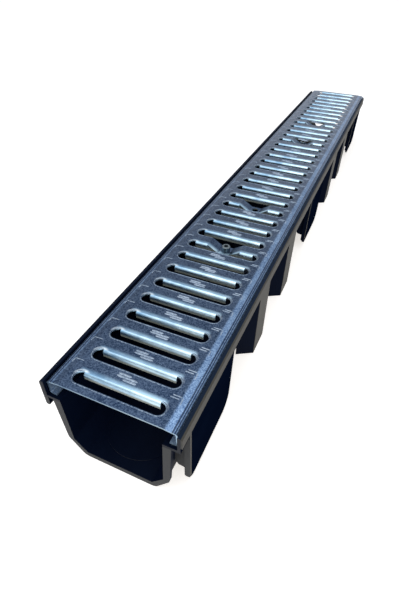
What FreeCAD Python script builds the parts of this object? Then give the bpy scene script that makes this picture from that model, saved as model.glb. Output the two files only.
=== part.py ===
import FreeCAD, Part
import math
import os
import Sketcher

# A one-metre channel drain: a black moulded channel body and the slotted steel grate that lies in it.
# X runs across the channel, Y along it from the near end, Z up from the ground; X = 0 is mid-width.

Vec = FreeCAD.Vector
doc = FreeCAD.newDocument("channel_drain")
sheet = doc.addObject("Spreadsheet::Sheet", "sizes")

SIZES = {
    # channel body: trough
    "body_length": 1000,
    "body_height": 95,
    "clear_width": 95.2,
    "wall": 3,
    "wall_draft": 2.2,
    "floor_width": 67,
    "floor_bevel": 14.6,
    "foot_height": 3.4,
    # channel body: ledges and rims that hold the grate
    "ledge_width": 12.6,
    "ledge_thick": 3,
    "rim_wall": 4.3,
    "rim_band": 12.5,
    "rim_step": 1.6,
    "rim_round": 2.5,
    "far_cut_length": 28,
    "far_cut_width": 9.5,
    # channel body: end rings, hook tongue and outlet collar
    "ring_length": 4,
    "ring_proud": 4.4,
    "ring_taper": 1.3,
    "ring_round": 9,
    "tongue_drop": 31,
    "outlet_size": 75,
    "outlet_wall": 2.4,
    "outlet_mark": 0.5,
    "outlet_place": 47.5,
    # channel body: side panels and pillars
    "rib_module": 415,
    "panel_start": 16,
    "panel_length": 96,
    "panel_foot": 8,
    "panel_skin": 3,
    "panel_inset": 0.8,
    "post_width": 5.5,
    "post_foot": 15,
    "panel_lean": 7,
    "panel_round": 10,
    "panel_sweep": 18,
    "web_thick": 2.6,
    "web_foot": 23,
    "web_rise": 1.5,
    "web_arch": 9,
    "web_round": 2,
    "pillar_start": 187,
    "pillar_width": 35,
    "pillar_spacing": 116,
    "pillar_splay": 11,
    "pillar_skin": 3,
    # grate
    "grate_height": 17,
    "grate_play": 0.9,
    "grate_near_margin": 3,
    "grate_far_margin": 7,
    "grate_sheet": 1.5,
    "grate_bend": 3,
    "grate_lip": 7,
    "grate_fall": 1.1,
    "grate_border": 12,
    "slot_pitch": 27.5,
    "slot_length": 84,
    "slot_width": 12.4,
    "flap_length": 71,
    "flap_drop": 6.8,
    "flap_bend": 3,
    "flap_set": 4,
    "flap_root": 0.5,
    # locking points
    "lock_first": 9,
    "lock_second": 13,
    "dish_depth": 8,
    "dish_width": 40,
    "dish_floor": 13,
    "dish_hole": 9,
    "bar_width": 20,
    "bar_thick": 4,
    "bar_play": 0.5,
    "bar_round": 3,
    "bar_seat": 2,
    "boss_thick": 3,
    "boss_margin": 4,
    "thread_size": 6,
    "thread_play": 0.4,
    "screw_length": 20,
    "head_size": 10,
    "head_height": 6,
    "head_edge": 0.6,
    "socket_size": 5,
    "socket_depth": 3,
}


class Size:
    """A length that knows its number and the sheet expression that gives it."""

    def __init__(self, number, text):
        self.number = number
        self.text = text

    def joined(self, other, sign, number):
        return Size(number, "(" + self.text + " " + sign + " " + other.text + ")")

    def __add__(self, other):
        other = as_size(other)
        return self.joined(other, "+", self.number + other.number)

    def __sub__(self, other):
        other = as_size(other)
        return self.joined(other, "-", self.number - other.number)

    def __mul__(self, other):
        other = as_size(other)
        return self.joined(other, "*", self.number * other.number)

    def __truediv__(self, other):
        other = as_size(other)
        return self.joined(other, "/", self.number / other.number)

    def __neg__(self):
        return as_size(0) - self


def as_size(value):
    return value if isinstance(value, Size) else Size(float(value), str(value))


def whole(size):
    """The whole part of a size, as a count."""
    return Size(float(math.floor(size.number)), "floor(" + size.text + ")")


for row, (alias, number) in enumerate(SIZES.items(), start=1):
    sheet.set("A" + str(row), alias)
    sheet.set("B" + str(row), str(number))
    sheet.setAlias("B" + str(row), alias)
doc.recompute()
size = {alias: Size(float(sheet.get(alias)), "sizes." + alias) for alias in SIZES}


# ---- sketch and feature helpers -------------------------------------------------------------

def new_body(name):
    body = doc.addObject("PartDesign::Body", name)
    body.Label = name
    return body


def place(body, x, y, z):
    for axis, value in (("x", x), ("y", y), ("z", z)):
        body.setExpression("Placement.Base." + axis, as_size(value).text)


def origin(body, role):
    return [item for item in body.Origin.OriginFeatures if item.Role == role][0]


def new_sketch(body, name, role, offset=0):
    """A sketch on one of the body's own planes, moved along the plane's normal."""
    sketch = body.newObject("Sketcher::SketchObject", name)
    sketch.AttachmentSupport = [(origin(body, role), "")]
    sketch.MapMode = "FlatFace"
    sketch.setExpression("AttachmentOffset.Base.z", as_size(offset).text)
    return sketch


def bind(sketch, kind, *where_and_size):
    """A dimension of the sketch that follows the sheet."""
    where = where_and_size[:-1]
    value = as_size(where_and_size[-1])
    index = sketch.addConstraint(Sketcher.Constraint(kind, *where, value.number))
    sketch.setExpression("Constraints[" + str(index) + "]", value.text)


def pin(sketch, edge, end, x, y):
    """Fixes one point of the sketch at x, y from the sketch origin."""
    for kind, value, axis in (("DistanceX", x, -2), ("DistanceY", y, -1)):
        if as_size(value).text == "0":
            sketch.addConstraint(Sketcher.Constraint("PointOnObject", edge, end, axis))
        else:
            bind(sketch, kind, -1, 1, edge, end, value)


def unit(start, end):
    return (end - start).normalize()


def outline(sketch, corners):
    """A closed outline through the corners (x, y) or, where rounded, (x, y, radius)."""
    count = len(corners)
    at = [Vec(as_size(corner[0]).number, as_size(corner[1]).number, 0) for corner in corners]
    trims = []
    for index, corner in enumerate(corners):
        if len(corner) < 3:
            trims.append(0.0)
            continue
        before = unit(at[index], at[index - 1])
        after = unit(at[index], at[(index + 1) % count])
        trims.append(corner[2].number / math.tan(before.getAngle(after) / 2))
    lines = []
    for index in range(count):
        following = (index + 1) % count
        along = unit(at[index], at[following])
        start = at[index] + along * trims[index]
        end = at[following] - along * trims[following]
        lines.append(sketch.addGeometry(Part.LineSegment(start, end)))
    for index, corner in enumerate(corners):
        before, after = lines[index - 1], lines[index]
        if len(corner) < 3:
            sketch.addConstraint(Sketcher.Constraint("Coincident", before, 2, after, 1))
            pin(sketch, after, 1, corner[0], corner[1])
            continue
        point = sketch.addGeometry(Part.Point(at[index]), True)
        pin(sketch, point, 1, corner[0], corner[1])
        sketch.addConstraint(Sketcher.Constraint("PointOnObject", point, 1, before))
        sketch.addConstraint(Sketcher.Constraint("PointOnObject", point, 1, after))
        add_corner_arc(sketch, before, after, corner[2])


def add_corner_arc(sketch, before, after, radius):
    start = sketch.Geometry[before].EndPoint
    end = sketch.Geometry[after].StartPoint
    incoming = start - sketch.Geometry[before].StartPoint
    outgoing = sketch.Geometry[after].EndPoint - end
    left_turn = incoming.cross(outgoing).z > 0
    side = Vec(-incoming.y, incoming.x, 0).normalize() * (1 if left_turn else -1)
    centre = start + side * radius.number
    first, last = (start, end) if left_turn else (end, start)
    from_angle = math.atan2(first.y - centre.y, first.x - centre.x)
    to_angle = math.atan2(last.y - centre.y, last.x - centre.x)
    circle = Part.Circle(centre, Vec(0, 0, 1), radius.number)
    arc = sketch.addGeometry(Part.ArcOfCircle(circle, from_angle, to_angle))
    arc_first, arc_last = (1, 2) if left_turn else (2, 1)
    sketch.addConstraint(Sketcher.Constraint("Tangent", before, 2, arc, arc_first))
    sketch.addConstraint(Sketcher.Constraint("Tangent", after, 1, arc, arc_last))
    bind(sketch, "Radius", arc, radius)


def circle(sketch, x, y, radius):
    centre = Vec(as_size(x).number, as_size(y).number, 0)
    index = sketch.addGeometry(Part.Circle(centre, Vec(0, 0, 1), radius.number))
    pin(sketch, index, 3, x, y)
    bind(sketch, "Radius", index, radius)


def obround(sketch, y, half_length, radius):
    """A slot outline with round ends, centred on x = 0 at the height y."""
    reach = half_length - radius
    up = Vec(0, 0, 1)
    left_circle = Part.Circle(Vec(-reach.number, y.number, 0), up, radius.number)
    right_circle = Part.Circle(Vec(reach.number, y.number, 0), up, radius.number)
    left = sketch.addGeometry(Part.ArcOfCircle(left_circle, math.pi / 2, 3 * math.pi / 2))
    right = sketch.addGeometry(Part.ArcOfCircle(right_circle, -math.pi / 2, math.pi / 2))
    lower_left = Vec(-reach.number, y.number - radius.number, 0)
    lower_right = Vec(reach.number, y.number - radius.number, 0)
    upper_left = Vec(-reach.number, y.number + radius.number, 0)
    upper_right = Vec(reach.number, y.number + radius.number, 0)
    lower = sketch.addGeometry(Part.LineSegment(lower_left, lower_right))
    upper = sketch.addGeometry(Part.LineSegment(upper_right, upper_left))
    for first, first_end, second, second_end in (
            (left, 2, lower, 1), (lower, 2, right, 1), (right, 2, upper, 1), (upper, 2, left, 1)):
        sketch.addConstraint(Sketcher.Constraint("Tangent", first, first_end, second, second_end))
    pin(sketch, left, 3, -reach, y)
    pin(sketch, right, 3, reach, y)
    bind(sketch, "Radius", left, radius)


def mirrored(half):
    """The half outline followed by its mirror image across x = 0."""
    return half + [(-corner[0],) + tuple(corner[1:]) for corner in reversed(half)]


volumes = {}
SMALLEST_CHANGE = 1e-3


def finish_feature(body, feature, must_grow):
    """Makes the feature the body's tip once it has added, or cut away, material as it should.

    must_grow is None for a feature that both adds and cuts.
    """
    before = volumes.get(body.Name, 0.0)
    doc.recompute()
    if feature.Shape.isNull() or "Invalid" in feature.State:
        raise RuntimeError(feature.Name + " failed")
    gained = feature.Shape.Volume - before
    if abs(gained) < SMALLEST_CHANGE or must_grow not in (None, gained > 0):
        raise RuntimeError(feature.Name + " did not change the volume as it should")
    volumes[body.Name] = feature.Shape.Volume
    body.Tip = feature
    return feature


def pad(body, sketch, length, backwards=False, both_ways=False):
    feature = body.newObject("PartDesign::Pad", sketch.Name + "_pad")
    feature.Profile = sketch
    feature.setExpression("Length", length.text)
    feature.Reversed = backwards
    if both_ways:
        feature.SideType = "Symmetric"
    return finish_feature(body, feature, True)


def pocket(body, sketch, length, backwards=False, both_ways=False):
    feature = body.newObject("PartDesign::Pocket", sketch.Name + "_pocket")
    feature.Profile = sketch
    feature.setExpression("Length", length.text)
    feature.Reversed = backwards
    if both_ways:
        feature.SideType = "Symmetric"
    return finish_feature(body, feature, False)


def set_spacing(pattern, body, spacing, count):
    pattern.Direction = (origin(body, "Y_Axis"), [""])
    pattern.Mode = "Spacing"
    pattern.setExpression("Offset", spacing.text)
    pattern.setExpression("Occurrences", count.text)


def repeat(body, name, originals, steps, mirror, must_grow=True):
    """Repeats features along the body by (spacing, count) steps, and across x = 0."""
    multi = body.newObject("PartDesign::MultiTransform", name)
    multi.Originals = originals
    transformations = []
    for number, (spacing, count) in enumerate(steps, start=1):
        pattern = doc.addObject("PartDesign::LinearPattern", name + "_row" + str(number))
        set_spacing(pattern, body, spacing, count)
        transformations.append(pattern)
    if mirror:
        flip = doc.addObject("PartDesign::Mirrored", name + "_mirror")
        flip.MirrorPlane = (origin(body, "YZ_Plane"), [""])
        transformations.append(flip)
    body.Group = body.Group + transformations
    multi.Transformations = transformations
    return finish_feature(body, multi, must_grow)


def fillet_along_y(body, name, lines, radius):
    """Rounds the edges that run along Y through the given x, z lines."""
    base = body.Tip
    names = []
    for index, edge in enumerate(base.Shape.Edges, start=1):
        ends = [vertex.Point for vertex in edge.Vertexes]
        for x, z in lines:
            if len(ends) == 2 and all(math.hypot(end.x - x, end.z - z) < 1e-4 for end in ends):
                names.append("Edge" + str(index))
    if len(names) < len(lines):
        raise RuntimeError(name + " found too few edges")
    feature = body.newObject("PartDesign::Fillet", name)
    feature.Base = (base, names)
    feature.setExpression("Radius", radius.text)
    return finish_feature(body, feature, False)


# ---- values that several pieces share -------------------------------------------------------

clear_half = size["clear_width"] / 2
ledge_top = size["body_height"] - size["grate_height"]
ledge_under = ledge_top - size["ledge_thick"]
rim_inner = clear_half + size["ledge_width"]
crest = rim_inner + size["rim_wall"]
floor_top = size["foot_height"] + size["wall"]
floor_half = size["floor_width"] / 2
bevel_top = floor_top + size["floor_bevel"]
low_half = clear_half - size["wall_draft"]
wall_outer = clear_half + size["wall"]
band_under = size["body_height"] - size["rim_band"]
skirt_outer = crest - size["rim_step"]

grate_start = size["grate_near_margin"]
grate_length = size["body_length"] - size["grate_near_margin"] - size["grate_far_margin"]
slot_count = whole(grate_length / size["slot_pitch"])
first_slot = (grate_length - (slot_count - 1) * size["slot_pitch"]) / 2
near_edge = first_slot - size["slot_pitch"] / 2
lock_offsets = [
    near_edge + size["lock_first"] * size["slot_pitch"],
    near_edge + size["lock_second"] * size["slot_pitch"],
    grate_length - near_edge - size["lock_second"] * size["slot_pitch"],
    grate_length - near_edge - size["lock_first"] * size["slot_pitch"],
]
bar_reach = clear_half + size["bar_seat"]
rib_root = size["wall"] / 3

# a 45 degree bevel moves the outer corner of a wall by the tangent of half that angle
BEVEL_SHARE = round(math.tan(math.pi / 8), 2)
# how much of the width of a thin post the rounding at its foot takes on each side
NOSE_SHARE = 0.4
# how far outside the sheet a cut starts and ends
CUTTER_LEAD = 1


# ---- channel body ---------------------------------------------------------------------------

def trough_section(body):
    """The trough, its ledges and rims, drawn once and run the whole length."""
    bevel_shift = size["wall"] * BEVEL_SHARE
    outside = [
        (floor_half + bevel_shift, size["foot_height"]),
        (low_half + size["wall"], bevel_top - bevel_shift),
        (wall_outer, ledge_under),
        (skirt_outer, ledge_under),
        (skirt_outer, band_under),
        (crest, band_under),
        (crest, size["body_height"]),
        (rim_inner, size["body_height"]),
        (rim_inner, ledge_top),
        (clear_half, ledge_top),
        (low_half, bevel_top),
        (floor_half, floor_top),
    ]
    inside_count = 5
    right = outside[:-inside_count]
    inner = outside[-inside_count:]
    loop = right + inner + [(-x, z) for x, z in reversed(inner)] + [(-x, z) for x, z in reversed(right)]
    sketch = new_sketch(body, "trough_section", "XZ_Plane")
    outline(sketch, loop)
    return pad(body, sketch, size["body_length"], backwards=True)


def end_ring(body, name, offset, backwards):
    """The stiffening flange round the open end of the trough, down to the ground."""
    half = wall_outer + size["ring_proud"]
    half_low = half - size["wall_draft"] - size["ring_taper"]
    bottom_half = floor_half + size["wall"]
    mid_top = clear_half + size["wall"] / 2
    mid_low = low_half + size["wall"] / 2
    mid_floor = size["foot_height"] + size["wall"] / 2
    right = [
        (bottom_half, as_size(0), size["ring_round"]),
        (half_low, bevel_top, size["ring_round"]),
        (half, ledge_under),
        (mid_top, ledge_under),
        (mid_low, bevel_top),
        (floor_half, mid_floor),
    ]
    sketch = new_sketch(body, name, "XZ_Plane", offset)
    outline(sketch, mirrored(right))
    return pad(body, sketch, size["ring_length"], backwards=backwards)


def hook_tongue(body):
    """The round-ended tongue that hangs from the near left rim and hooks the next channel."""
    foot = size["body_height"] - size["tongue_drop"]
    inner = rim_inner
    sketch = new_sketch(body, "hook_tongue", "XZ_Plane")
    nose = size["rim_wall"] * NOSE_SHARE
    outline(sketch, [
        (-crest, band_under + size["wall"]),
        (-crest, foot, nose),
        (-inner, foot, nose),
        (-inner, band_under + size["wall"]),
    ])
    return pad(body, sketch, size["ring_length"], backwards=True)


def outlet_collar(body):
    """The ring of the knock-out outlet, down to the ground and just proud of the trough floor."""
    radius = size["outlet_size"] / 2
    sketch = new_sketch(body, "outlet_collar", "XY_Plane")
    circle(sketch, as_size(0), size["outlet_place"], radius)
    circle(sketch, as_size(0), size["outlet_place"], radius - size["outlet_wall"])
    return pad(body, sketch, floor_top + size["outlet_mark"])


def side_panel(body):
    """A hanging skin just inside the crest, its lower edge swept up to the rim at the far side."""
    start = size["panel_start"]
    end = start + size["panel_length"]
    face = crest - size["panel_inset"]
    top = band_under + size["rim_step"]
    sketch = new_sketch(body, "panel_skin", "YZ_Plane", face - size["panel_skin"])
    outline(sketch, [
        (start - size["web_thick"] / 2, size["panel_foot"], size["panel_round"]),
        (end - size["panel_lean"], size["panel_foot"], size["panel_sweep"]),
        (end, top),
        (start - size["web_thick"] / 2, top),
    ])
    skin = pad(body, sketch, size["panel_skin"])
    webs = [panel_post(body, start - size["web_thick"], top), web(body, "near_web", start)]
    sweep_start = end - size["panel_lean"] - size["panel_sweep"]
    webs.append(web(body, "far_web", sweep_start - size["web_thick"]))
    return [skin] + webs


def panel_post(body, y, top):
    """The round-footed post that edges the near side of a panel, flush with the rim."""
    sketch = new_sketch(body, "panel_post", "XZ_Plane", -y)
    inner = crest - size["post_width"]
    nose = size["post_width"] * NOSE_SHARE
    in_ledge = ledge_under + size["ledge_thick"] / 2
    in_rim = (rim_inner + skirt_outer) / 2
    outline(sketch, [
        (inner, in_ledge),
        (inner, size["post_foot"], nose),
        (crest, size["post_foot"], nose),
        (crest, top),
        (in_rim, top),
        (in_rim, in_ledge),
    ])
    return pad(body, sketch, size["web_thick"], backwards=True)


def web(body, name, y):
    """A cross wall between trough and panel, its lower edge a shallow arch."""
    sketch = new_sketch(body, name, "XZ_Plane", -y)
    high = ledge_under + size["ledge_thick"] / 2
    outer = crest - size["panel_inset"] - size["panel_skin"] / 2
    outline(sketch, [
        (clear_half + rib_root, high),
        (low_half + size["wall"] - rib_root, size["web_foot"] + size["web_arch"]),
        (wall_outer + size["wall"] / 2, size["web_foot"] + size["web_rise"], size["web_round"]),
        (outer, size["web_foot"]),
        (outer, high),
    ])
    return pad(body, sketch, size["web_thick"], backwards=True)


def pillar(body):
    """A splayed buttress from the ground to the rim, open underneath, with a skin up to the band."""
    near = size["pillar_start"]
    far = near + size["pillar_width"]
    root = low_half + rib_root
    root_near = near - size["pillar_splay"]
    root_far = far + size["pillar_splay"]
    skin = size["pillar_skin"]
    sketch = new_sketch(body, "pillar", "XY_Plane")
    outline(sketch, [(root, root_near), (crest, near), (crest, far), (root, root_far)])
    solid = pad(body, sketch, ledge_under + size["ledge_thick"] / 2)
    cap = new_sketch(body, "pillar_cap", "XY_Plane", ledge_under)
    outline(cap, [(crest - skin, near), (crest, near), (crest, far), (crest - skin, far)])
    upper = pad(body, cap, band_under + size["rim_step"] - ledge_under)
    hollow = new_sketch(body, "pillar_hollow", "XY_Plane")
    outline(hollow, [
        (wall_outer, root_near + skin * 2),
        (crest - skin, near + skin),
        (crest - skin, far - skin),
        (wall_outer, root_far - skin * 2),
    ])
    return [solid, upper, pocket(body, hollow, ledge_under, backwards=True)]


def bar_boss(body):
    """The thickened patches of wall that hold the ends of the lock bars."""
    half = size["bar_width"] / 2 + size["boss_margin"]
    low = ledge_under - size["bar_thick"] - size["boss_margin"]
    bosses = new_sketch(body, "bar_boss", "YZ_Plane", clear_half)
    seats = new_sketch(body, "bar_seat", "YZ_Plane")
    seat_half = size["bar_width"] / 2 + size["bar_play"]
    seat_low = ledge_under - size["bar_thick"] - size["bar_play"]
    for offset in lock_offsets:
        y = grate_start + offset
        outline(bosses, [
            (y - half, low), (y + half, low),
            (y + half, ledge_under + size["wall"] / 2), (y - half, ledge_under + size["wall"] / 2),
        ])
        outline(seats, [
            (y - seat_half, seat_low), (y + seat_half, seat_low),
            (y + seat_half, ledge_under), (y - seat_half, ledge_under),
        ])
    boss = pad(body, bosses, size["wall"] + size["boss_thick"])
    repeat(body, "bar_bosses", [boss], [], True)
    reach = bar_reach + size["bar_play"]
    return pocket(body, seats, reach * 2, both_ways=True)


def trough_clearance(body):
    """Cuts back to the trough's own walls whatever the ribs outside brought through them."""
    sketch = new_sketch(body, "trough_clearance", "XZ_Plane")
    outline(sketch, mirrored([(floor_half, floor_top), (low_half, bevel_top), (clear_half, ledge_top)]))
    return pocket(body, sketch, size["body_length"])


def far_corners(body):
    """The tapers on the far ends of the rims, where the next channel is offered up."""
    length = size["far_cut_length"]
    width = size["far_cut_width"]
    end = size["body_length"]
    sketch = new_sketch(body, "far_corner", "XY_Plane", size["body_height"])
    outline(sketch, [(crest - width, end), (crest, end - length), (crest + width, end)])
    return pocket(body, sketch, size["grate_height"])


def channel_body():
    body = new_body("channel_body")
    trough_section(body)
    crest_x = crest.number
    top = size["body_height"].number
    fillet_along_y(body, "rim_round", [(crest_x, top), (-crest_x, top)], size["rim_round"])
    end_ring(body, "near_ring", 0, True)
    end_ring(body, "far_ring", -size["body_length"], False)
    hook_tongue(body)
    panel_room = size["body_length"] - size["panel_start"] - size["panel_length"]
    panel_count = whole(panel_room / size["rib_module"]) + 1
    panel = side_panel(body)
    repeat(body, "panels", panel, [(size["rib_module"], panel_count)], True)
    last_pillar = size["pillar_start"] + size["pillar_spacing"] + size["pillar_width"]
    pillar_room = size["body_length"] - last_pillar - size["pillar_splay"]
    pillar_count = whole(pillar_room / size["rib_module"]) + 1
    steps = [(size["pillar_spacing"], as_size(2)), (size["rib_module"], pillar_count)]
    repeat(body, "pillars", pillar(body), steps, True)
    bar_boss(body)
    trough_clearance(body)
    outlet_collar(body)
    corner = far_corners(body)
    repeat(body, "far_corners", [corner], [], True, must_grow=False)
    return body


# ---- grate ----------------------------------------------------------------------------------

def grate_section(body, half):
    """The folded sheet: top, two side flanges and two inward lips, run the whole length."""
    thick = size["grate_sheet"]
    top = size["grate_height"]
    fall = size["grate_fall"]
    flat = half - size["grate_border"]
    bend = size["grate_bend"]
    inner_bend = bend - thick
    lip = half - size["grate_lip"]
    right_outer = [
        (lip, thick),
        (lip, as_size(0)),
        (half, as_size(0), bend),
        (half, top - fall, bend),
        (flat, top),
    ]
    right_inner = [
        (flat, top - thick),
        (half - thick, top - fall - thick, inner_bend),
        (half - thick, thick, inner_bend),
    ]
    sketch = new_sketch(body, "grate_section", "XZ_Plane")
    left_outer_then_inner = mirrored(right_outer)[len(right_outer):] + mirrored(right_inner)[len(right_inner):]
    outline(sketch, right_outer + left_outer_then_inner + right_inner)
    return pad(body, sketch, grate_length, backwards=True)


def slots(body):
    """Obround slots whose long far edges are bent down as stiff flaps."""
    top = size["grate_height"]
    thick = size["grate_sheet"]
    opening = new_sketch(body, "slot", "XY_Plane", top + CUTTER_LEAD)
    obround(opening, first_slot, size["slot_length"] / 2, size["slot_width"] / 2)
    cut = pocket(body, opening, thick + CUTTER_LEAD * 2)
    flap = new_sketch(body, "flap", "YZ_Plane")
    face = first_slot + size["flap_set"]
    back = face + size["flap_bend"] + size["flap_root"]
    outline(flap, [
        (face, top - size["flap_drop"]),
        (face, top, size["flap_bend"]),
        (back, top),
        (back, top - thick),
        (face + thick, top - thick),
        (face + thick, top - size["flap_drop"]),
    ])
    fold = pad(body, flap, size["flap_length"], both_ways=True)
    repeat(body, "slot_row", [cut, fold], [(size["slot_pitch"], slot_count)], False, must_grow=False)


def dishes(body):
    """Four bars are dished down to a bolt hole, two near each end."""
    top = size["grate_height"]
    thick = size["grate_sheet"]
    length = size["slot_pitch"] - size["flap_set"] - size["slot_width"] / 2
    half = size["dish_width"] / 2
    floor = size["dish_floor"] / 2
    low = top - size["dish_depth"]
    above = top + CUTTER_LEAD
    y = lock_offsets[0] - size["slot_pitch"] / 2 + size["flap_set"]
    hollow = new_sketch(body, "dish_hollow", "XZ_Plane", -y)
    outline(hollow, [
        (-half, above), (-half, top), (-floor, low), (floor, low), (half, top), (half, above),
    ])
    plate = new_sketch(body, "dish_plate", "XZ_Plane", -y)
    outline(plate, [
        (-half, top), (-floor, low), (floor, low), (half, top),
        (half, top - thick), (floor, low - thick), (-floor, low - thick), (-half, top - thick),
    ])
    drop = size["flap_drop"]
    flange = new_sketch(body, "dish_flange", "XZ_Plane", -y)
    outline(flange, [
        (-half, top), (-floor, low), (floor, low), (half, top),
        (half, top - drop), (floor, low - drop), (-floor, low - drop), (-half, top - drop),
    ])
    hole = new_sketch(body, "dish_hole", "XY_Plane", low + CUTTER_LEAD)
    circle(hole, as_size(0), lock_offsets[0], size["dish_hole"] / 2)
    dish = [
        pocket(body, hollow, length),
        pad(body, plate, length, backwards=True),
        pad(body, flange, thick, backwards=True),
        pocket(body, hole, thick + CUTTER_LEAD * 2),
    ]
    steps = [(lock_offsets[1] - lock_offsets[0], as_size(2)), (lock_offsets[2] - lock_offsets[0], as_size(2))]
    repeat(body, "dish_row", dish, steps, False, must_grow=None)


def grate():
    body = new_body("grate")
    half = rim_inner - size["grate_play"]
    grate_section(body, half)
    slots(body)
    dishes(body)
    place(body, 0, grate_start, ledge_top)
    return body


# ---- locking screws and bars ----------------------------------------------------------------

def lock_screw(name, y):
    """A socket head screw; its origin is under the head."""
    body = new_body(name)
    shank = size["thread_size"] / 2
    head = size["head_size"] / 2
    profile = new_sketch(body, name + "_profile", "XZ_Plane")
    outline(profile, [
        (as_size(0), -size["screw_length"]),
        (shank - size["head_edge"], -size["screw_length"]),
        (shank, size["head_edge"] - size["screw_length"]),
        (shank, as_size(0)),
        (head, as_size(0)),
        (head, size["head_height"] - size["head_edge"]),
        (head - size["head_edge"], size["head_height"]),
        (as_size(0), size["head_height"]),
    ])
    turned = body.newObject("PartDesign::Revolution", name + "_turned")
    turned.Profile = profile
    turned.ReferenceAxis = (origin(body, "Z_Axis"), [""])
    turned.Angle = 360
    finish_feature(body, turned, True)
    socket = new_sketch(body, name + "_socket", "XY_Plane", size["head_height"])
    corner = size["socket_size"] / math.sqrt(3)
    corners = []
    for step in range(6):
        angle = math.radians(60 * step)
        corners.append((corner * round(math.cos(angle), 6), corner * round(math.sin(angle), 6)))
    corners = [(x, as_size(0)) if abs(y.number) < 1e-9 else (x, y) for x, y in corners]
    outline(socket, corners)
    pocket(body, socket, size["socket_depth"])
    place(body, 0, y, size["body_height"] - size["dish_depth"])
    return body


def lock_bar(name, y):
    """A flat bar with a threaded hole; its origin is the middle of its upper face."""
    body = new_body(name)
    half = size["bar_width"] / 2
    corner = size["bar_round"]
    plan = new_sketch(body, name + "_plan", "XY_Plane")
    outline(plan, [
        (-bar_reach, -half, corner), (bar_reach, -half, corner),
        (bar_reach, half, corner), (-bar_reach, half, corner),
    ])
    circle(plan, as_size(0), as_size(0), (size["thread_size"] + size["thread_play"]) / 2)
    pad(body, plan, size["bar_thick"], backwards=True)
    place(body, 0, y, ledge_under)
    return body


pieces = [channel_body(), grate()]
for place_name, lock_offset in (("near", lock_offsets[0]), ("far", lock_offsets[2])):
    pieces.append(lock_screw("lock_screw_" + place_name, grate_start + lock_offset))
    pieces.append(lock_bar("lock_bar_" + place_name, grate_start + lock_offset))
doc.recompute()

for item in doc.Objects:
    if "Invalid" in item.State or "Error" in item.State:
        raise RuntimeError(item.Name + " failed: " + str(item.State))
for piece in pieces:
    if piece.Shape.isNull() or not piece.Shape.isValid() or len(piece.Shape.Solids) != 1:
        raise RuntimeError(piece.Label + " is not one valid solid")

os.makedirs("parts", exist_ok=True)
for piece in pieces:
    piece.Shape.exportStep("parts/" + piece.Label + ".step")
    box = piece.Shape.BoundBox
    print(piece.Label, "volume", round(piece.Shape.Volume), "faces", len(piece.Shape.Faces),
          "box", [round(value, 2) for value in (box.XMin, box.XMax, box.YMin, box.YMax, box.ZMin, box.ZMax)])
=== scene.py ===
import math
from functools import cached_property

import bmesh
import bpy
from mathutils import Matrix, Vector


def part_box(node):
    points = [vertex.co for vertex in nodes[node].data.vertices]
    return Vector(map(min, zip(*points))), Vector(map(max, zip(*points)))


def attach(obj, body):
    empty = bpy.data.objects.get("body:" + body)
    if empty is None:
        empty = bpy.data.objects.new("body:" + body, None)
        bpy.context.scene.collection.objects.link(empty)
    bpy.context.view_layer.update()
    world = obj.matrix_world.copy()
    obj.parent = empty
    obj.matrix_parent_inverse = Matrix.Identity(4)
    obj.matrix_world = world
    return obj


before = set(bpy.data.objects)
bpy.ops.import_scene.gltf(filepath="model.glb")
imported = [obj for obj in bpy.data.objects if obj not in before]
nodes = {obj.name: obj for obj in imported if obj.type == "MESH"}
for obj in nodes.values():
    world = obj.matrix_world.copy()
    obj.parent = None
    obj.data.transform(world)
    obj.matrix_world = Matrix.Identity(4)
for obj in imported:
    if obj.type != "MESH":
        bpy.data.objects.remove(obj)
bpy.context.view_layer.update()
scene = bpy.context.scene
MM = 0.001

# ---- places from the frame, and the sizes of rims, ledges and slots that go with them ----------

grate_low, grate_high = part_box("grate")
top = grate_high[2]
grate_half = grate_high[0]
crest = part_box("channel_body")[1][0]

LEDGE_THICK = 3 * MM
RIM_BAND = 12.5 * MM
ledge_under = grate_low[2] - LEDGE_THICK

BORDER_WIDTH = 12 * MM
BORDER_FALL = 1.1 * MM

SLOT_PITCH = 27.5 * MM
SLOT_COUNT = int((grate_high[1] - grate_low[1]) / SLOT_PITCH)
SLOT_REACH = 42 * MM
SLOT_ROUND = 6.2 * MM
FIRST_SLOT = grate_low[1] + SLOT_PITCH / 2
DISHED = (9, 13, SLOT_COUNT - 13, SLOT_COUNT - 9)


# ---- node helpers ---------------------------------------------------------------------------

class Nodes:
    """A short way to write a node tree."""

    def __init__(self, tree):
        self.tree = tree

    def add(self, kind, **settings):
        node = self.tree.nodes.new(kind)
        for key, value in settings.items():
            setattr(node, key, value)
        return node

    def link(self, source, target):
        self.tree.links.new(source, target)

    def put(self, socket, value):
        if isinstance(value, bpy.types.NodeSocket):
            self.link(value, socket)
        else:
            socket.default_value = value

    def math(self, operation, *values):
        node = self.add("ShaderNodeMath", operation=operation)
        for socket, value in zip(node.inputs, values):
            self.put(socket, value)
        return node.outputs[0]

    def times(self, first, second):
        return self.math("MULTIPLY", first, second)

    def plus(self, first, second):
        return self.math("ADD", first, second)

    def seen_directly(self):
        """1 where the camera, metal or glass looks, and 0 for the light given to the rest."""
        path = self.add("ShaderNodeLightPath").outputs
        mirrored = self.math("MAXIMUM", path["Is Glossy Ray"], path["Is Transmission Ray"])
        return self.math("MAXIMUM", path["Is Camera Ray"], mirrored)


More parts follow.
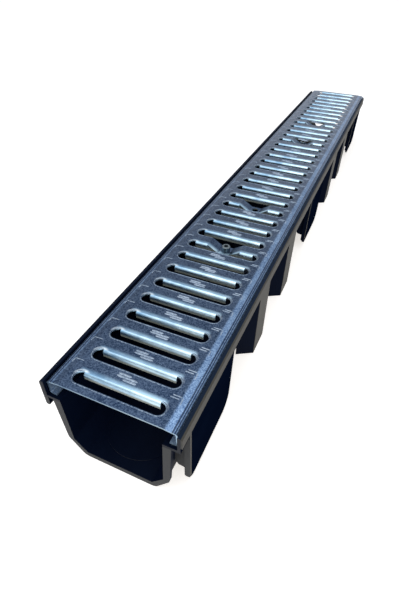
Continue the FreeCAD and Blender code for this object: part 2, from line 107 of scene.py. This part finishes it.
class Material(Nodes):
    """A procedural material, whose masks are worked out from the place and the side of a face."""

    def __init__(self, name):
        self.material = bpy.data.materials.new(name)
        self.material.use_nodes = True
        super().__init__(self.material.node_tree)
        self.shader = self.tree.nodes["Principled BSDF"]

    @cached_property
    def place(self):
        return self.add("ShaderNodeTexCoord").outputs["Object"]

    @cached_property
    def axes(self):
        return self.split(self.place)

    @cached_property
    def normals(self):
        return self.split(self.add("ShaderNodeNewGeometry").outputs["Normal"])

    @cached_property
    def reach(self):
        """The distance from the middle plane, on either side."""
        return self.math("ABSOLUTE", self.axes[0])

    def split(self, vector):
        node = self.add("ShaderNodeSeparateXYZ")
        self.link(vector, node.inputs[0])
        return node.outputs

    def noise(self, scale, detail=3.0, roughness=0.5, stretch=None):
        node = self.add("ShaderNodeTexNoise")
        self.link(self.stretched(stretch), node.inputs["Vector"])
        node.inputs["Scale"].default_value = scale
        node.inputs["Detail"].default_value = detail
        node.inputs["Roughness"].default_value = roughness
        return node.outputs["Fac"]

    def stretched(self, factors):
        if factors is None:
            return self.place
        node = self.add("ShaderNodeVectorMath", operation="MULTIPLY")
        self.link(self.place, node.inputs[0])
        node.inputs[1].default_value = factors
        return node.outputs[0]

    def cells(self, scale):
        """Crystals with a random value in each of three channels."""
        crystals = self.add("ShaderNodeTexVoronoi")
        self.link(self.place, crystals.inputs["Vector"])
        crystals.inputs["Scale"].default_value = scale
        channels = self.add("ShaderNodeSeparateColor")
        self.link(crystals.outputs["Color"], channels.inputs[0])
        return channels.outputs

    def step(self, value, low, high, out_low=0.0, out_high=1.0):
        """Goes from out_low to out_high as value goes from low to high; low may be the larger."""
        node = self.add("ShaderNodeMapRange", clamp=True)
        self.link(value, node.inputs["Value"])
        limits = {"From Min": low, "From Max": high, "To Min": out_low, "To Max": out_high}
        for name, number in limits.items():
            node.inputs[name].default_value = number
        return node.outputs["Result"]

    def mix(self, factor, first, second):
        node = self.add("ShaderNodeMix", data_type="RGBA")
        self.put(node.inputs[0], factor)
        for socket, colour in ((node.inputs[6], first), (node.inputs[7], second)):
            is_link = isinstance(colour, bpy.types.NodeSocket)
            self.put(socket, colour if is_link else (*colour, 1.0))
        return node.outputs[2]

    def bump(self, height, strength, distance):
        node = self.add("ShaderNodeBump")
        self.link(height, node.inputs["Height"])
        node.inputs["Strength"].default_value = strength
        node.inputs["Distance"].default_value = distance
        self.link(node.outputs["Normal"], self.shader.inputs["Normal"])

    def finish(self, colour, roughness, metallic):
        self.put(self.shader.inputs["Base Color"], colour)
        self.put(self.shader.inputs["Roughness"], roughness)
        self.put(self.shader.inputs["Metallic"], metallic)
        return self.material


# ---- zinc -----------------------------------------------------------------------------------

def spangle(m):
    """Hot-dip zinc: fine crystals, bright flecks and dull patches, as a mix from dark to light."""
    crystals = m.cells(1100.0)
    patches = m.noise(45.0, 3.0, 0.6)
    flecks = m.noise(1500.0, 2.0, 0.7)
    tone = m.plus(m.times(crystals[0], 0.55), m.times(patches, 0.45))
    tone = m.plus(tone, m.step(flecks, 0.58, 0.72, 0.0, 0.5))
    m.bump(m.plus(crystals[2], m.noise(900.0, 3.0)), 0.12, 0.15 * MM)
    return m.step(tone, 0.25, 1.05)


def galvanised(name, dark, light, roughness, metallic=1.0):
    m = Material(name)
    return m.finish(m.mix(spangle(m), dark, light), roughness, metallic)


def sheet_top(m, tone):
    """The dull blue top, with a painted sheen that makes it a little paler toward the far end, and
    painted highlights as pale folds along both borders.
    """
    x, y = m.axes[0], m.axes[1]
    dull = m.mix(tone, (0.012, 0.025, 0.056), (0.092, 0.135, 0.215))
    pale = m.mix(tone, (0.070, 0.130, 0.260), (0.31, 0.46, 0.68))
    # painted sheen: up to 22% of a paler zinc along the length, toward the far end
    colour = m.mix(m.step(y, 0.10, 0.95, 0.0, 0.22), dull, pale)

    # painted highlights on the folds: the right fold is wider and paler than the left one
    right_inner, right_outer = grate_half - 11.5 * MM, grate_half - 9.5 * MM
    left_inner, left_outer = grate_half - 7 * MM, grate_half - 5 * MM
    right_fold_highlight = m.step(x, right_inner, right_outer, 0.0, 0.85)
    left_fold_highlight = m.step(m.times(x, -1.0), left_inner, left_outer, 0.0, 0.6)
    return m.mix(m.math("MAXIMUM", right_fold_highlight, left_fold_highlight), colour, pale)


def rolled_lines(m, colour):
    """Two fine dark lines along each border."""
    for inset, width in ((4.2 * MM, 0.5 * MM), (2.4 * MM, 0.4 * MM)):
        away = m.math("ABSOLUTE", m.math("SUBTRACT", m.reach, grate_half - inset))
        colour = m.mix(m.step(away, width, width * 1.8, 0.85, 0.0), colour, (0.012, 0.018, 0.040))
    return colour


def flange_mask(m):
    """The side flanges, and the lips that turn in at their feet."""
    lip_top = grate_low[2] + 2.2 * MM
    lip = m.step(m.axes[2], lip_top + 0.4 * MM, lip_top)
    sideways = m.step(m.math("ABSOLUTE", m.normals[0]), 0.6, 0.9)
    return m.math("MAXIMUM", sideways, lip)


def beyond_slot(m):
    """How far a point lies beyond the middle line of the slot before it."""
    offset = m.math("DIVIDE", m.math("SUBTRACT", m.axes[1], FIRST_SLOT), SLOT_PITCH)
    return m.times(m.math("FRACT", offset), SLOT_PITCH)


def bend_band_highlight(m, beyond, roll, bend, colour):
    """Painted highlight on the pale band where a bar begins to roll down; a dished bar is painted
    as bright as a bend.
    """
    band = m.times(m.step(beyond, 3.6 * MM, 3.9 * MM), m.step(beyond, 10.8 * MM, 6.8 * MM))
    band = m.times(band, m.step(m.reach, 41.5 * MM, 38.0 * MM))
    band = m.times(band, m.step(m.normals[2], 0.1, 0.3))
    sunk = m.step(m.axes[2], top - 0.2 * MM, top - 0.8 * MM)
    dished = m.times(sunk, m.step(beyond, 8.0 * MM, 6.5 * MM))
    return m.mix(m.times(band, 0.9), colour, m.mix(dished, roll, bend))


def slot_crescent_highlights(m, beyond, colour):
    """A painted highlight: a bright crescent where the sheet rolls over beside each slot end,
    stronger at the left.
    """
    from_end = m.math("SUBTRACT", m.reach, SLOT_REACH - SLOT_ROUND)
    squares = m.plus(m.math("POWER", from_end, 2.0), m.math("POWER", beyond, 2.0))
    around = m.math("SQRT", squares)
    crescent = m.times(m.step(around, 9.0 * MM, 7.0 * MM), m.step(m.normals[2], 0.1, 0.3))
    crescent = m.times(crescent, m.step(beyond, 1.0 * MM, 4.0 * MM))
    crescent = m.times(crescent, m.step(m.axes[0], -30 * MM, -34 * MM, 0.25, 1.0))
    return m.mix(crescent, colour, (0.58, 0.68, 0.76))


def grate_zinc():
    """The sheet of the grate: dull blue top, painted highlights on the paler borders and the
    bends, and creamy painted light on the flap faces.
    """
    m = Material("galvanised_grate")
    x, y, z = m.axes
    toward = m.times(m.normals[1], -1.0)
    tone = spangle(m)
    flange = flange_mask(m)
    colour = rolled_lines(m, sheet_top(m, tone))
    colour = m.mix(flange, colour, m.mix(tone, (0.12, 0.20, 0.34), (0.42, 0.54, 0.68)))

    # painted highlights, brighter toward the right and broken by streaks and blotches, lighten the
    # bends
    beyond = beyond_slot(m)
    streaks = m.noise(300.0, 4.0, 0.65, (0.10, 1.0, 1.0))
    blotch = m.noise(70.0, 3.0, 0.6)
    shine = m.plus(m.step(x, -32 * MM, 34 * MM, 0.0, 0.45), m.times(streaks, 0.7))
    shine = m.plus(shine, m.step(blotch, 0.35, 0.65, -0.15, 0.15))
    roll = m.mix(m.step(shine, 0.2, 0.9), (0.10, 0.20, 0.33), (0.42, 0.62, 0.79))
    bend = m.mix(m.step(shine, 0.2, 0.85), (0.16, 0.30, 0.45), (0.58, 0.76, 0.86))
    colour = bend_band_highlight(m, beyond, roll, bend, colour)
    colour = slot_crescent_highlights(m, beyond, colour)

    # faces toward the near end: a painted highlight on the bend, then creamy painted light on the
    # lower part of the flap; the near cut edge gets a fainter painted highlight
    cut_edge = m.step(y, grate_low[1] + 2 * MM, grate_low[1] + 1 * MM)
    near_face_highlight = m.times(m.step(toward, 0.16, 0.42), m.step(cut_edge, 0.0, 1.0, 1.0, 0.45))
    colour = m.mix(near_face_highlight, colour, bend)
    cream = m.mix(m.noise(500.0, 3.0, 0.6), (0.12, 0.135, 0.12), (0.42, 0.45, 0.39))
    lower = m.times(m.step(toward, 0.8, 0.95), m.step(z, top - 3.6 * MM, top - 5.2 * MM))
    lower = m.times(lower, m.step(cut_edge, 0.0, 1.0, 1.0, 0.0))
    colour = m.mix(lower, colour, cream)

    rough = m.step(m.noise(160.0), 0.3, 0.7, 0.30, 0.44)
    dull = m.math("MAXIMUM", lower, m.times(flange, 0.7))
    return m.finish(colour, rough, m.step(dull, 0.0, 1.0, 1.0, 0.25))


def screw_metal():
    """Dull zinc plating on the screws, with a finely ridged head whose colour carries painted
    shade in the grooves and painted highlights on the ridges.
    """
    m = Material("screw_zinc")
    ridges = m.noise(1600.0, 1.0, 0.5, (1.0, 1.0, 0.02))
    # painted shade in the grooves and painted highlights on the ridges
    colour = m.mix(m.step(ridges, 0.4, 0.6), (0.020, 0.028, 0.036), (0.22, 0.27, 0.30))
    m.bump(ridges, 0.5, 0.4 * MM)
    return m.finish(colour, 0.32, 1.0)


# ---- plastic --------------------------------------------------------------------------------

def lit_outer_face_mask(m):
    """The outermost faces of the ribs, and the outer band of the rims, where brown-grey light is
    painted.
    """
    band_foot = top - RIM_BAND + 0.3 * MM
    on_rim = m.step(m.axes[2], band_foot, band_foot + 0.4 * MM)
    outermost = m.step(m.reach, crest - 0.5 * MM, crest - 0.2 * MM)
    rim_face = m.step(m.reach, crest - 1.5 * MM, crest - 1.2 * MM)
    return m.math("MAXIMUM", outermost, m.times(rim_face, on_rim))


def cut_end_mask(m):
    """Faces close to the near end that look out of it, where grey light is painted, fainter from
    the ledges up.
    """
    below_ledge = m.step(m.axes[2], ledge_under + 0.5 * MM, ledge_under - 0.5 * MM, 0.3, 1.0)
    facing = m.step(m.normals[1], -0.7, -0.95)
    return m.times(m.times(facing, m.step(m.axes[1], 20 * MM, 17.5 * MM)), below_ledge)


def black_plastic():
    """Recycled black polymer: bluish black inside, with brown-grey painted light on the outermost
    faces and the near end faces, and a bluer painted sheen on the rim tops.
    """
    m = Material("black_polymer")
    x, z = m.axes[0], m.axes[2]
    lit_outer_faces = lit_outer_face_mask(m)
    cut_end = cut_end_mask(m)
    painted_lit_faces = m.math("MAXIMUM", lit_outer_faces, cut_end)
    smears = m.noise(60.0, 4.0, 0.6, (1.0, 0.25, 1.0))

    # a bluer painted sheen on the rim tops, stronger on the right one than on the left
    rim_top = m.step(z, top - 1.0 * MM, top - 0.3 * MM)
    rim_top_sheen = m.times(rim_top, m.step(x, 0.0, 0.5 * MM, 0.15, 0.9))
    clean = m.mix(smears, (0.0010, 0.0030, 0.0110), (0.0030, 0.0068, 0.0200))
    clean = m.mix(rim_top_sheen, clean, m.mix(smears, (0.006, 0.013, 0.028), (0.016, 0.028, 0.052)))
    # painted light: brown-grey where the outermost faces catch the light
    outer_face_light = m.mix(smears, (0.034, 0.032, 0.027), (0.078, 0.073, 0.062))
    # painted light: grey on the faces that look out of the near end
    end_face_light = m.mix(smears, (0.026, 0.027, 0.028), (0.060, 0.061, 0.063))
    colour = m.mix(cut_end, m.mix(lit_outer_faces, clean, outer_face_light), end_face_light)

    wear = m.plus(m.times(smears, 0.6), m.times(painted_lit_faces, 0.5))
    rough = m.step(wear, 0.2, 1.0, 0.45, 0.65)
    m.bump(m.plus(m.noise(700.0, 3.0), m.noise(180.0)), 0.12, 0.2 * MM)

    # less gloss on the outer side faces
    sideways = m.step(m.math("ABSOLUTE", m.normals[0]), 0.7, 0.9)
    outer_side = m.times(sideways, m.step(m.reach, crest - 4 * MM, crest - 2 * MM))
    gloss = m.math("SUBTRACT", m.step(painted_lit_faces, 0.0, 1.0, 0.03, 0.20), m.times(outer_side, 0.03))
    m.put(m.shader.inputs["Specular IOR Level"], m.math("MAXIMUM", gloss, 0.0))
    return m.finish(colour, rough, 0.0)


# ---- the CAD nodes get their materials ------------------------------------------------------

def paint(obj, material):
    obj.data.materials.clear()
    obj.data.materials.append(material)


screw_zinc = screw_metal()
bar_zinc = galvanised("galvanised_bar", (0.10, 0.13, 0.18), (0.25, 0.30, 0.36), 0.4)
paint(nodes["channel_body"], black_plastic())
paint(nodes["grate"], grate_zinc())
for end in ("near", "far"):
    paint(nodes["lock_screw_" + end], screw_zinc)
    paint(nodes["lock_bar_" + end], bar_zinc)


# ---- embossed marks on the grate ------------------------------------------------------------

RIDGE_STEPS = 5
RIDGE_END_SHARE = 0.3
RIDGE_SINK = 0.05 * MM
LINE_RUN_OUT = 0.1
RIM_WIDTH = 1.1 * MM
RIM_HEIGHT = 0.35 * MM
RIM_OFFSET = 0.9 * MM
RIM_ARC_STEPS = 8
DISH_HALF = 20 * MM
DISH_CLEARANCE = 1 * MM

# Lines on each bar, in mm from the bar's middle: x1, y1, x2, y2, width and height of the ridge.
GRIP_LINES = (
    (-9.5, 3.3, 2.5, 3.3, 2.2, 0.4),
    (-10, 0.8, 9.5, 0.8, 2.2, 0.4),
    (-3, -1.7, 9.5, -1.7, 2.2, 0.4),
)
SIDE_LINES = (
    (39, 0.2, 47, 0.2, 1.2, 0.4),
    (40.5, 2.6, 48.5, 2.6, 1.2, 0.4),
    (49.5, 2.6, 49.8, -4.5, 0.9, 0.3),
    (-43.5, 2.2, -52, 2.2, 0.9, 0.35),
    (-52, 2.2, -52.6, -2.6, 0.9, 0.35),
)


def surface_height(x):
    """The top face falls gently outside its two border folds."""
    outside = max(0.0, abs(x) - (grate_half - BORDER_WIDTH))
    return top - outside * BORDER_FALL / BORDER_WIDTH


def ridge(mesh, path, width, height):
    """A rounded ridge pressed up from the top face along a path of (x, y) points."""
    last = len(path) - 1
    rows = []
    for number, (x, y) in enumerate(path):
        before = path[max(number - 1, 0)]
        after = path[min(number + 1, last)]
        along = Vector((after[0] - before[0], after[1] - before[1], 0.0)).normalized()
        side = Vector((-along.y, along.x, 0.0))
        full = RIDGE_END_SHARE if number in (0, last) else 1.0
        row = []
        for step in range(RIDGE_STEPS):
            angle = math.pi * step / (RIDGE_STEPS - 1)
            across = side * (math.cos(angle) * width / 2 * full)
            rise = math.sin(angle) * height * full - RIDGE_SINK
            row.append(mesh.verts.new(Vector((x, y, surface_height(x) + rise)) + across))
        rows.append(row)
    for first, second in zip(rows, rows[1:]):
        for step in range(RIDGE_STEPS - 1):
            mesh.faces.new((first[step], first[step + 1], second[step + 1], second[step]))


def line(mesh, middle, x1, y1, x2, y2, width, height):
    """A straight ridge with short run-outs, on the bar whose middle is at y = middle."""
    path = []
    for share in (0, LINE_RUN_OUT, 1 - LINE_RUN_OUT, 1):
        x = (x1 + (x2 - x1) * share) * MM
        y = middle + (y1 + (y2 - y1) * share) * MM
        path.append((x, y))
    ridge(mesh, path, width * MM, height * MM)


def slot_rim(mesh, y, behind_dish):
    """The raised rim round a slot, open on its far side, where the flap rolls down.

    Behind a dished bar it also leaves the dish free.
    """
    radius = SLOT_ROUND + RIM_OFFSET
    centre = SLOT_REACH - SLOT_ROUND
    left = []
    for step in range(RIM_ARC_STEPS + 1):
        angle = math.pi / 2 + math.pi * step / RIM_ARC_STEPS
        left.append((-centre + math.cos(angle) * radius, y + math.sin(angle) * radius))
    right = [(-x, place_y) for x, place_y in reversed(left)]
    if behind_dish:
        gap_half = DISH_HALF + DISH_CLEARANCE
        ridge(mesh, left + [(-gap_half, y - radius)], RIM_WIDTH, RIM_HEIGHT)
        ridge(mesh, [(gap_half, y - radius)] + right, RIM_WIDTH, RIM_HEIGHT)
    else:
        ridge(mesh, left + right, RIM_WIDTH, RIM_HEIGHT)


def show(mesh, name, material):
    data = bpy.data.meshes.new(name)
    mesh.to_mesh(data)
    mesh.free()
    for face in data.polygons:
        face.use_smooth = True
    obj = bpy.data.objects.new(name, data)
    scene.collection.objects.link(obj)
    paint(obj, material)
    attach(obj, "root")


def grip_marks(material):
    """The stepped grip lines in the middle of each bar and the short lines beside the slots."""
    mesh = bmesh.new()
    for bar in range(1, SLOT_COUNT):
        middle = grate_low[1] + bar * SLOT_PITCH
        if bar not in DISHED:
            for sizes in GRIP_LINES:
                line(mesh, middle, *sizes)
        for sizes in SIDE_LINES:
            line(mesh, middle, *sizes)
    show(mesh, "grate_grip_marks", material)


def slot_rims(material):
    mesh = bmesh.new()
    for number in range(SLOT_COUNT):
        slot_rim(mesh, FIRST_SLOT + number * SLOT_PITCH, number in DISHED)
    show(mesh, "grate_slot_rims", material)


# paler copies of the zinc for the grip marks and slot rims: painted highlights on the pressed
# ridges
grip_marks(galvanised("galvanised_pressed_highlight", (0.17, 0.23, 0.32), (0.46, 0.55, 0.66), 0.5, 0.5))
slot_rims(galvanised("galvanised_rim_highlight", (0.050, 0.075, 0.125), (0.28, 0.35, 0.44), 0.34))


# ---- floor, light and camera ----------------------------------------------------------------

FLOOR_HALF = 6.0
FLOOR_GLOW = 0.70
SKY_STRENGTH = 0.45
CAMERA_PLACE = (0.1377, -0.1411, 0.3626)
CAMERA_RIGHT = (0.91283, 0.40811, 0.01413)
CAMERA_FORWARD = (-0.30140, 0.69669, -0.65099)


def floor():
    """Pale, keeps the object's shadow, and glows only where the camera, metal or glass looks."""
    data = bpy.data.meshes.new("floor")
    signs = ((-1, -1), (1, -1), (1, 1), (-1, 1))
    corners = [(x * FLOOR_HALF, y * FLOOR_HALF, 0) for x, y in signs]
    data.from_pydata(corners, [], [(0, 1, 2, 3)])
    obj = bpy.data.objects.new("floor", data)
    scene.collection.objects.link(obj)
    m = Material("floor_white")
    m.finish((0.82, 0.82, 0.82, 1.0), 0.9, 0.0)
    m.shader.inputs["Specular IOR Level"].default_value = 0.0
    m.shader.inputs["Emission Color"].default_value = (1.0, 0.960, 0.91, 1.0)
    m.put(m.shader.inputs["Emission Strength"], m.times(m.seen_directly(), FLOOR_GLOW))
    paint(obj, m.material)


def background():
    """White where the camera, metal or glass looks, and a softer bluish light on the rest."""
    world = bpy.data.worlds.new("studio")
    scene.world = world
    world.use_nodes = True
    m = Nodes(world.node_tree)
    light = m.tree.nodes["Background"]
    light.inputs["Color"].default_value = (0.80, 0.88, 1.0, 1.0)
    light.inputs["Strength"].default_value = SKY_STRENGTH
    white = m.add("ShaderNodeBackground")
    white.inputs["Color"].default_value = (1, 1, 1, 1)
    mix = m.add("ShaderNodeMixShader")
    for source, target in zip((m.seen_directly(), light.outputs[0], white.outputs[0]), mix.inputs):
        m.link(source, target)
    m.link(mix.outputs[0], m.tree.nodes["World Output"].inputs["Surface"])


def area_light(name, place, target, size, power, colour):
    data = bpy.data.lights.new(name, "AREA")
    data.size = size
    data.energy = power
    data.color = colour
    obj = bpy.data.objects.new(name, data)
    scene.collection.objects.link(obj)
    obj.location = place
    obj.rotation_euler = (Vector(target) - Vector(place)).to_track_quat("-Z", "Y").to_euler()
    obj.visible_camera = False


def camera():
    """From above and to the right of the near end, looking down the length."""
    data = bpy.data.cameras.new("camera")
    data.sensor_fit = "HORIZONTAL"
    data.sensor_width = 36.0
    data.lens = 37.19
    data.clip_start = 0.01
    obj = bpy.data.objects.new("camera", data)
    scene.collection.objects.link(obj)
    right = Vector(CAMERA_RIGHT).normalized()
    forward = Vector(CAMERA_FORWARD).normalized()
    up = right.cross(forward)
    rotation = Matrix((right, up, -forward)).transposed()
    obj.matrix_world = Matrix.Translation(CAMERA_PLACE) @ rotation.to_4x4()
    scene.camera = obj


floor()
background()
area_light("key", (-0.3, 0.1, 1.6), (0, 0.45, 0), 2.0, 16.0, (0.96, 0.98, 1.0))
area_light("fill", (1.2, -0.8, 0.9), (0, 0.4, 0), 1.2, 8.0, (1.0, 0.93, 0.84))
camera()
scene.view_settings.view_transform = "Standard"
